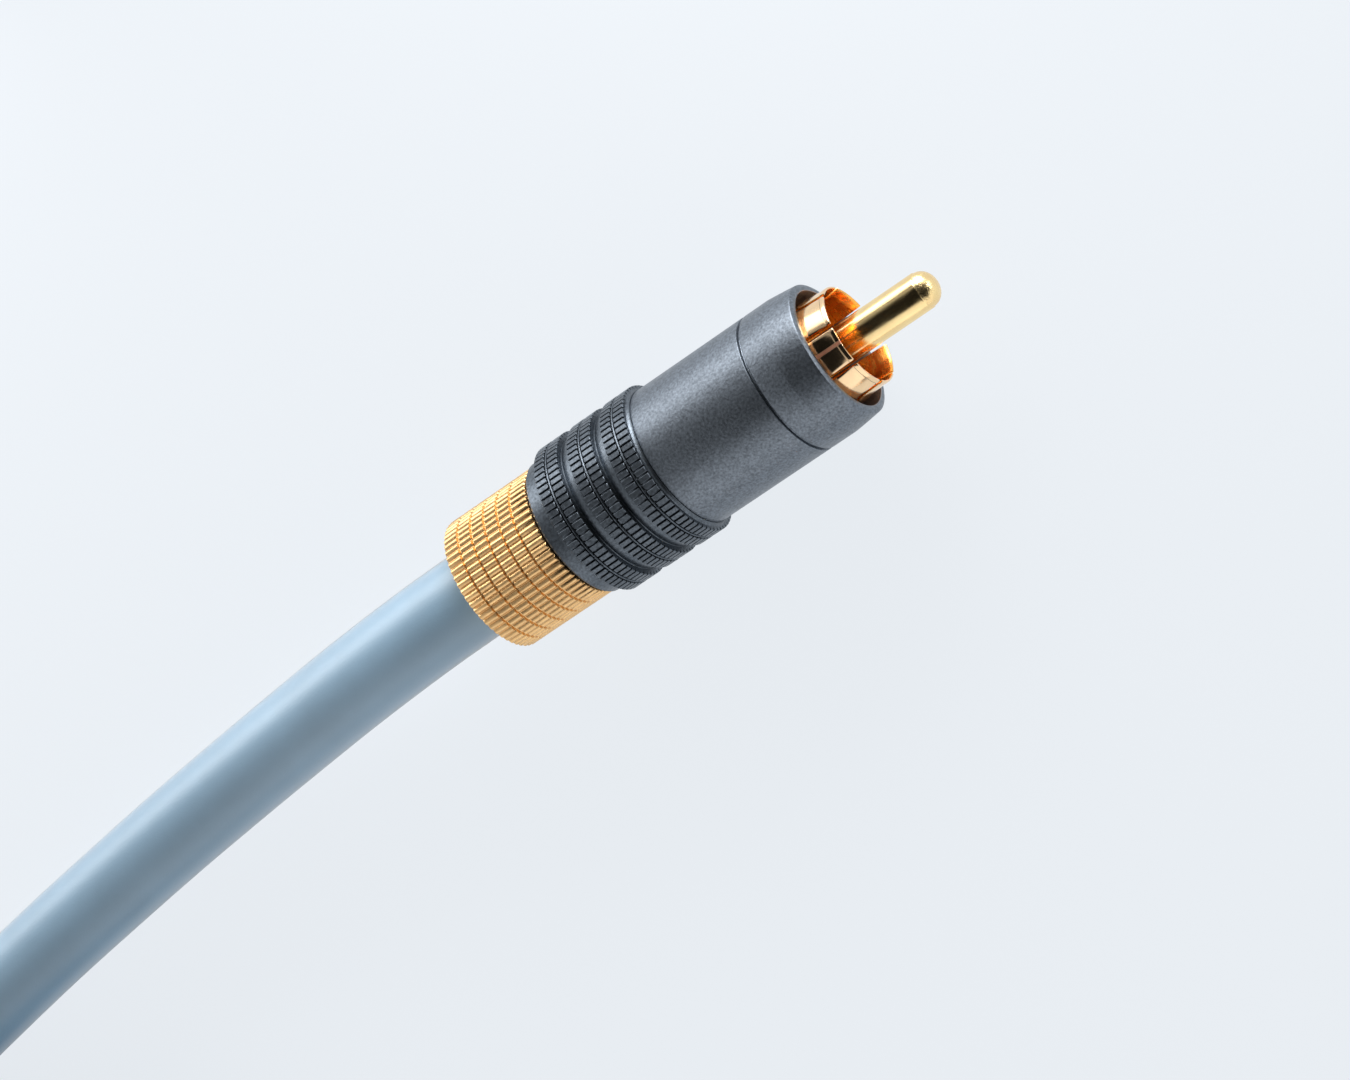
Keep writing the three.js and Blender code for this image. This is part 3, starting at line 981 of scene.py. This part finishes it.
class AUDIOLEAD_OT_nuts(Operator):
    """Knurl the two gold clamp nuts"""

    bl_idname = "audio_lead.nuts"
    bl_label = "Clamp nuts"

    def execute(self, context):
        sizes = context.scene.lead_plug
        material = plated_metal(
            "gold_plate_nut",
            context.scene.lead_finishes.nut_gold,
            roughness=0.33,
            marks_depth=0.03 * MM,
            stretch=(0.3, 1, 1),
        )
        tip = sizes.nut_tip / MM
        root = sizes.nut_root / MM
        outline = [
            (-36, 4.05, 4.05),
            (-36, root - 0.1, tip - 0.16),
            (-35.95, root - 0.03, tip - 0.05),
            (-35.86, root, tip),
        ]
        for i in range(NUT_GROOVES):
            groove = NUT_GROOVE_START + NUT_GROOVE_STEP * i
            outline += [(groove + x, root - low, tip - high) for x, low, high in NUT_GROOVE]
        outline += [
            (-27.48, root, tip),
            (-27.4, root - 0.04, tip - 0.08),
            (-27.35, 5.5, 5.65),
            *NUT_BORE,
        ]
        for end in ENDS:
            mesh = bmesh.new()
            fluted(mesh, in_metres(outline), sizes.nut_ridges, NUT_RIDGE)
            finish_piece(mesh, end, "nut", material, "clamp_nut")
        return {"FINISHED"}


class AUDIOLEAD_OT_inner_parts(Operator):
    """Finish the parts inside the plugs"""

    bl_idname = "audio_lead.inner_parts"
    bl_label = "Inner parts"

    def execute(self, context):
        finishes = context.scene.lead_finishes
        marks = 0.006 * MM
        materials = {
            "chassis": plated_metal(
                "gold_plate_chassis", finishes.nut_gold, 0.25, marks, stretch=(1, 0.2, 0.2)
            ),
            "clamp_collet": moulded_plastic("black_plastic_collet", (0.03, 0.03, 0.033), 0.45),
            "screen_braid": braided_wire("tinned_copper_braid", (0.7, 0.72, 0.73)),
            "core_insulation": moulded_plastic("white_insulation_core", (0.85, 0.85, 0.83), 0.4),
            "conductor": plated_metal(
                "bare_copper_wire", (0.9, 0.48, 0.3), 0.3, marks, stretch=(0.1, 1, 1)
            ),
        }
        for end in ENDS:
            for name, material in materials.items():
                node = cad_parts[f"{end}_{name}"]
                node.data.materials.clear()
                node.data.materials.append(material)
        return {"FINISHED"}


# Studio

FLOOR_RADIUS = 4
FLOOR_DROP = 0.0002
FLOOR_GLOW_SHARE = 0.88

# Lamps: place, width and height in metres
SIDE_LAMPS = {
    "side_panel": ((0, 0.1, 0.032), 0.3, 0.06),
    "nose_panel": ((0.06, 0.09, 0.032), 0.08, 0.06),
    "cable_panel": ((-0.09, 0.065, 0.027), 0.11, 0.05),
}
FRONT_LAMP = ((0.25, 0.02, 0.01), 0.016, 0.03)

# The unlit part of the room: its middle, half the width of its soft edge and the light left in it
UNLIT_MIDDLE = (0.3987, 0, 0.9171)
UNLIT_EDGE = math.radians(3)
UNLIT_SHARE = 0.015

# The lit room: its tint, and its brightness by the angle round the plug's axis in degrees
ROOM_TINT = (0.97, 0.985, 1)
ROOM_PEAK = 3
ROOM_PANELS = (
    (-90, 1.3), (-60, 1.1), (-35, 0.9), (-20, 0.7), (20, 0.55), (36, 0.45), (38, 0.2), (41, 0.2),
    (44, 0.4), (51, 0.42), (52.5, 0.2), (55, 0.2), (57, 0.45), (62, 0.5), (72, 1.3), (80, 1.7),
    (90, 1.8),
)


class AUDIOLEAD_OT_stage(Operator):
    """Set the floor, the room and the light"""

    bl_idname = "audio_lead.stage"
    bl_label = "Studio"

    def execute(self, context):
        self.floor(context)
        self.room(context)
        toward_lead = Matrix.Rotation(-math.pi / 2, 4, "X")
        for name, sizes in SIDE_LAMPS.items():
            self.lamp(context, name, toward_lead, *sizes)
        self.lamp(context, "front_lamp", Matrix.Rotation(math.pi / 2, 4, "Y"), *FRONT_LAMP)
        context.scene.view_settings.view_transform = "Standard"
        return {"FINISHED"}

    def lamp(self, context, name, turn, place, width, height):
        """A flat lamp as bright as its setting, which shines evenly from its whole face."""
        brightness = getattr(context.scene.lead_studio, name)
        light = bpy.data.lights.new(name, "AREA")
        light.shape = "RECTANGLE"
        light.size = width
        light.size_y = height
        light.energy = brightness * math.pi * width * height
        lamp = bpy.data.objects.new(name, light)
        lamp.matrix_world = Matrix.Translation(place) @ turn
        lamp.visible_camera = False
        context.scene.collection.objects.link(lamp)

    def floor(self, context):
        """A pale floor that keeps the lead's soft shadow."""
        mesh = bmesh.new()
        bmesh.ops.create_circle(mesh, cap_ends=True, segments=96, radius=FLOOR_RADIUS)
        bmesh.ops.translate(mesh, verts=mesh.verts, vec=(0, 0, -FLOOR_DROP))
        data = bpy.data.meshes.new("floor")
        mesh.to_mesh(data)
        mesh.free()
        floor = bpy.data.objects.new("floor", data)
        context.scene.collection.objects.link(floor)
        material, tree, shader = new_material("pale_floor")
        tone = context.scene.lead_finishes.floor
        shader.inputs["Base Color"].default_value = (*tone, 1)
        shader.inputs["Roughness"].default_value = 0.9
        shader.inputs["Specular IOR Level"].default_value = 0
        glow = tree.nodes.new("ShaderNodeEmission")
        glow.inputs["Color"].default_value = (*tone, 1)
        glow.inputs["Strength"].default_value = 1
        mix = tree.nodes.new("ShaderNodeMixShader")
        path = tree.nodes.new("ShaderNodeLightPath").outputs
        seen = combine(tree, "MAXIMUM", path["Is Camera Ray"], path["Is Glossy Ray"])
        seen = combine(tree, "MAXIMUM", seen, path["Is Transmission Ray"])
        share = combine(tree, "MULTIPLY", seen, FLOOR_GLOW_SHARE)
        output = [node for node in tree.nodes if node.type == "OUTPUT_MATERIAL"][0]
        tree.links.new(share, mix.inputs["Fac"])
        tree.links.new(shader.outputs["BSDF"], mix.inputs[1])
        tree.links.new(glow.outputs["Emission"], mix.inputs[2])
        tree.links.new(mix.outputs["Shader"], output.inputs["Surface"])
        data.materials.append(material)

    def room(self, context):
        """A white studio, brighter on one side, with an unlit part above the lead."""
        studio = context.scene.lead_studio
        tone = context.scene.lead_finishes.backdrop
        world = bpy.data.worlds.new("studio")
        context.scene.world = world
        world.use_nodes = True
        tree = world.node_tree
        tree.nodes.clear()
        output = tree.nodes.new("ShaderNodeOutputWorld")
        place = tree.nodes.new("ShaderNodeTexCoord")
        toward = tree.nodes.new("ShaderNodeVectorMath")
        toward.operation = "DOT_PRODUCT"
        toward.inputs[1].default_value = UNLIT_MIDDLE
        tree.links.new(place.outputs["Generated"], toward.inputs[0])
        dark = tree.nodes.new("ShaderNodeMapRange")
        dark.interpolation_type = "SMOOTHSTEP"
        dark.inputs["From Min"].default_value = math.cos(studio.dark_angle + UNLIT_EDGE)
        dark.inputs["From Max"].default_value = math.cos(studio.dark_angle - UNLIT_EDGE)
        dark.inputs["To Min"].default_value = ROOM_PEAK * studio.sky
        dark.inputs["To Max"].default_value = ROOM_PEAK * studio.sky * UNLIT_SHARE
        tree.links.new(toward.outputs["Value"], dark.inputs["Value"])
        parts = tree.nodes.new("ShaderNodeSeparateXYZ")
        tree.links.new(place.outputs["Generated"], parts.inputs["Vector"])
        roll = combine(tree, "ARCTAN2", parts.outputs["Y"], parts.outputs["Z"])
        around = spread(tree, roll, 0, 1, -math.pi / 2, math.pi / 2)
        panels = tree.nodes.new("ShaderNodeValToRGB")
        elements = panels.color_ramp.elements
        for angle, level in ROOM_PANELS:
            position = (angle + 90) / 180
            if position == 0:
                element = elements[0]
            elif position == 1:
                element = elements[-1]
            else:
                element = elements.new(position)
            element.color = (*[level / ROOM_PEAK] * 3, 1)
        tree.links.new(around, panels.inputs["Fac"])
        strength = combine(tree, "MULTIPLY", dark.outputs["Result"], panels.outputs["Color"])
        light = tree.nodes.new("ShaderNodeBackground")
        light.inputs["Color"].default_value = (*ROOM_TINT, 1)
        tree.links.new(strength, light.inputs["Strength"])
        seen = tree.nodes.new("ShaderNodeBackground")
        seen.inputs["Color"].default_value = (*tone, 1)
        mix = tree.nodes.new("ShaderNodeMixShader")
        path = tree.nodes.new("ShaderNodeLightPath")
        tree.links.new(path.outputs["Is Camera Ray"], mix.inputs["Fac"])
        tree.links.new(light.outputs["Background"], mix.inputs[1])
        tree.links.new(seen.outputs["Background"], mix.inputs[2])
        tree.links.new(mix.outputs["Shader"], output.inputs["Surface"])


STEPS = (
    AUDIOLEAD_OT_camera,
    AUDIOLEAD_OT_cable,
    AUDIOLEAD_OT_pins,
    AUDIOLEAD_OT_insulators,
    AUDIOLEAD_OT_rings,
    AUDIOLEAD_OT_sleeves,
    AUDIOLEAD_OT_grips,
    AUDIOLEAD_OT_nuts,
    AUDIOLEAD_OT_inner_parts,
    AUDIOLEAD_OT_declare_cable,
    AUDIOLEAD_OT_stage,
)


class AUDIOLEAD_PT_panel(Panel):
    """Lists the steps that build the lead"""

    bl_idname = "AUDIOLEAD_PT_panel"
    bl_label = "Audio Lead"
    bl_space_type = "VIEW_3D"
    bl_region_type = "UI"
    bl_category = "Audio Lead"

    def draw(self, context):
        for group in (context.scene.lead_plug, context.scene.lead_cable,
                      context.scene.lead_finishes, context.scene.lead_studio):
            box = self.layout.box()
            for name in group.__annotations__:
                box.prop(group, name)
        for step in STEPS:
            self.layout.operator(step.bl_idname)


GROUPS = {
    "lead_plug": PlugSizes,
    "lead_cable": CableSizes,
    "lead_finishes": Finishes,
    "lead_studio": StudioSettings,
}


def register():
    for name, group in GROUPS.items():
        bpy.utils.register_class(group)
        setattr(bpy.types.Scene, name, PointerProperty(type=group))
    for step in (*STEPS, AUDIOLEAD_PT_panel):
        bpy.utils.register_class(step)


def unregister():
    for step in reversed((*STEPS, AUDIOLEAD_PT_panel)):
        bpy.utils.unregister_class(step)
    for name, group in reversed(GROUPS.items()):
        delattr(bpy.types.Scene, name)
        bpy.utils.unregister_class(group)


def main():
    register()
    bpy.ops.audio_lead.camera()
    bpy.ops.audio_lead.cable()
    bpy.ops.audio_lead.pins()
    bpy.ops.audio_lead.insulators()
    bpy.ops.audio_lead.rings()
    bpy.ops.audio_lead.sleeves()
    bpy.ops.audio_lead.grips()
    bpy.ops.audio_lead.nuts()
    bpy.ops.audio_lead.inner_parts()
    bpy.ops.audio_lead.declare_cable()
    bpy.ops.audio_lead.stage()


if __name__ == "__main__":
    main()
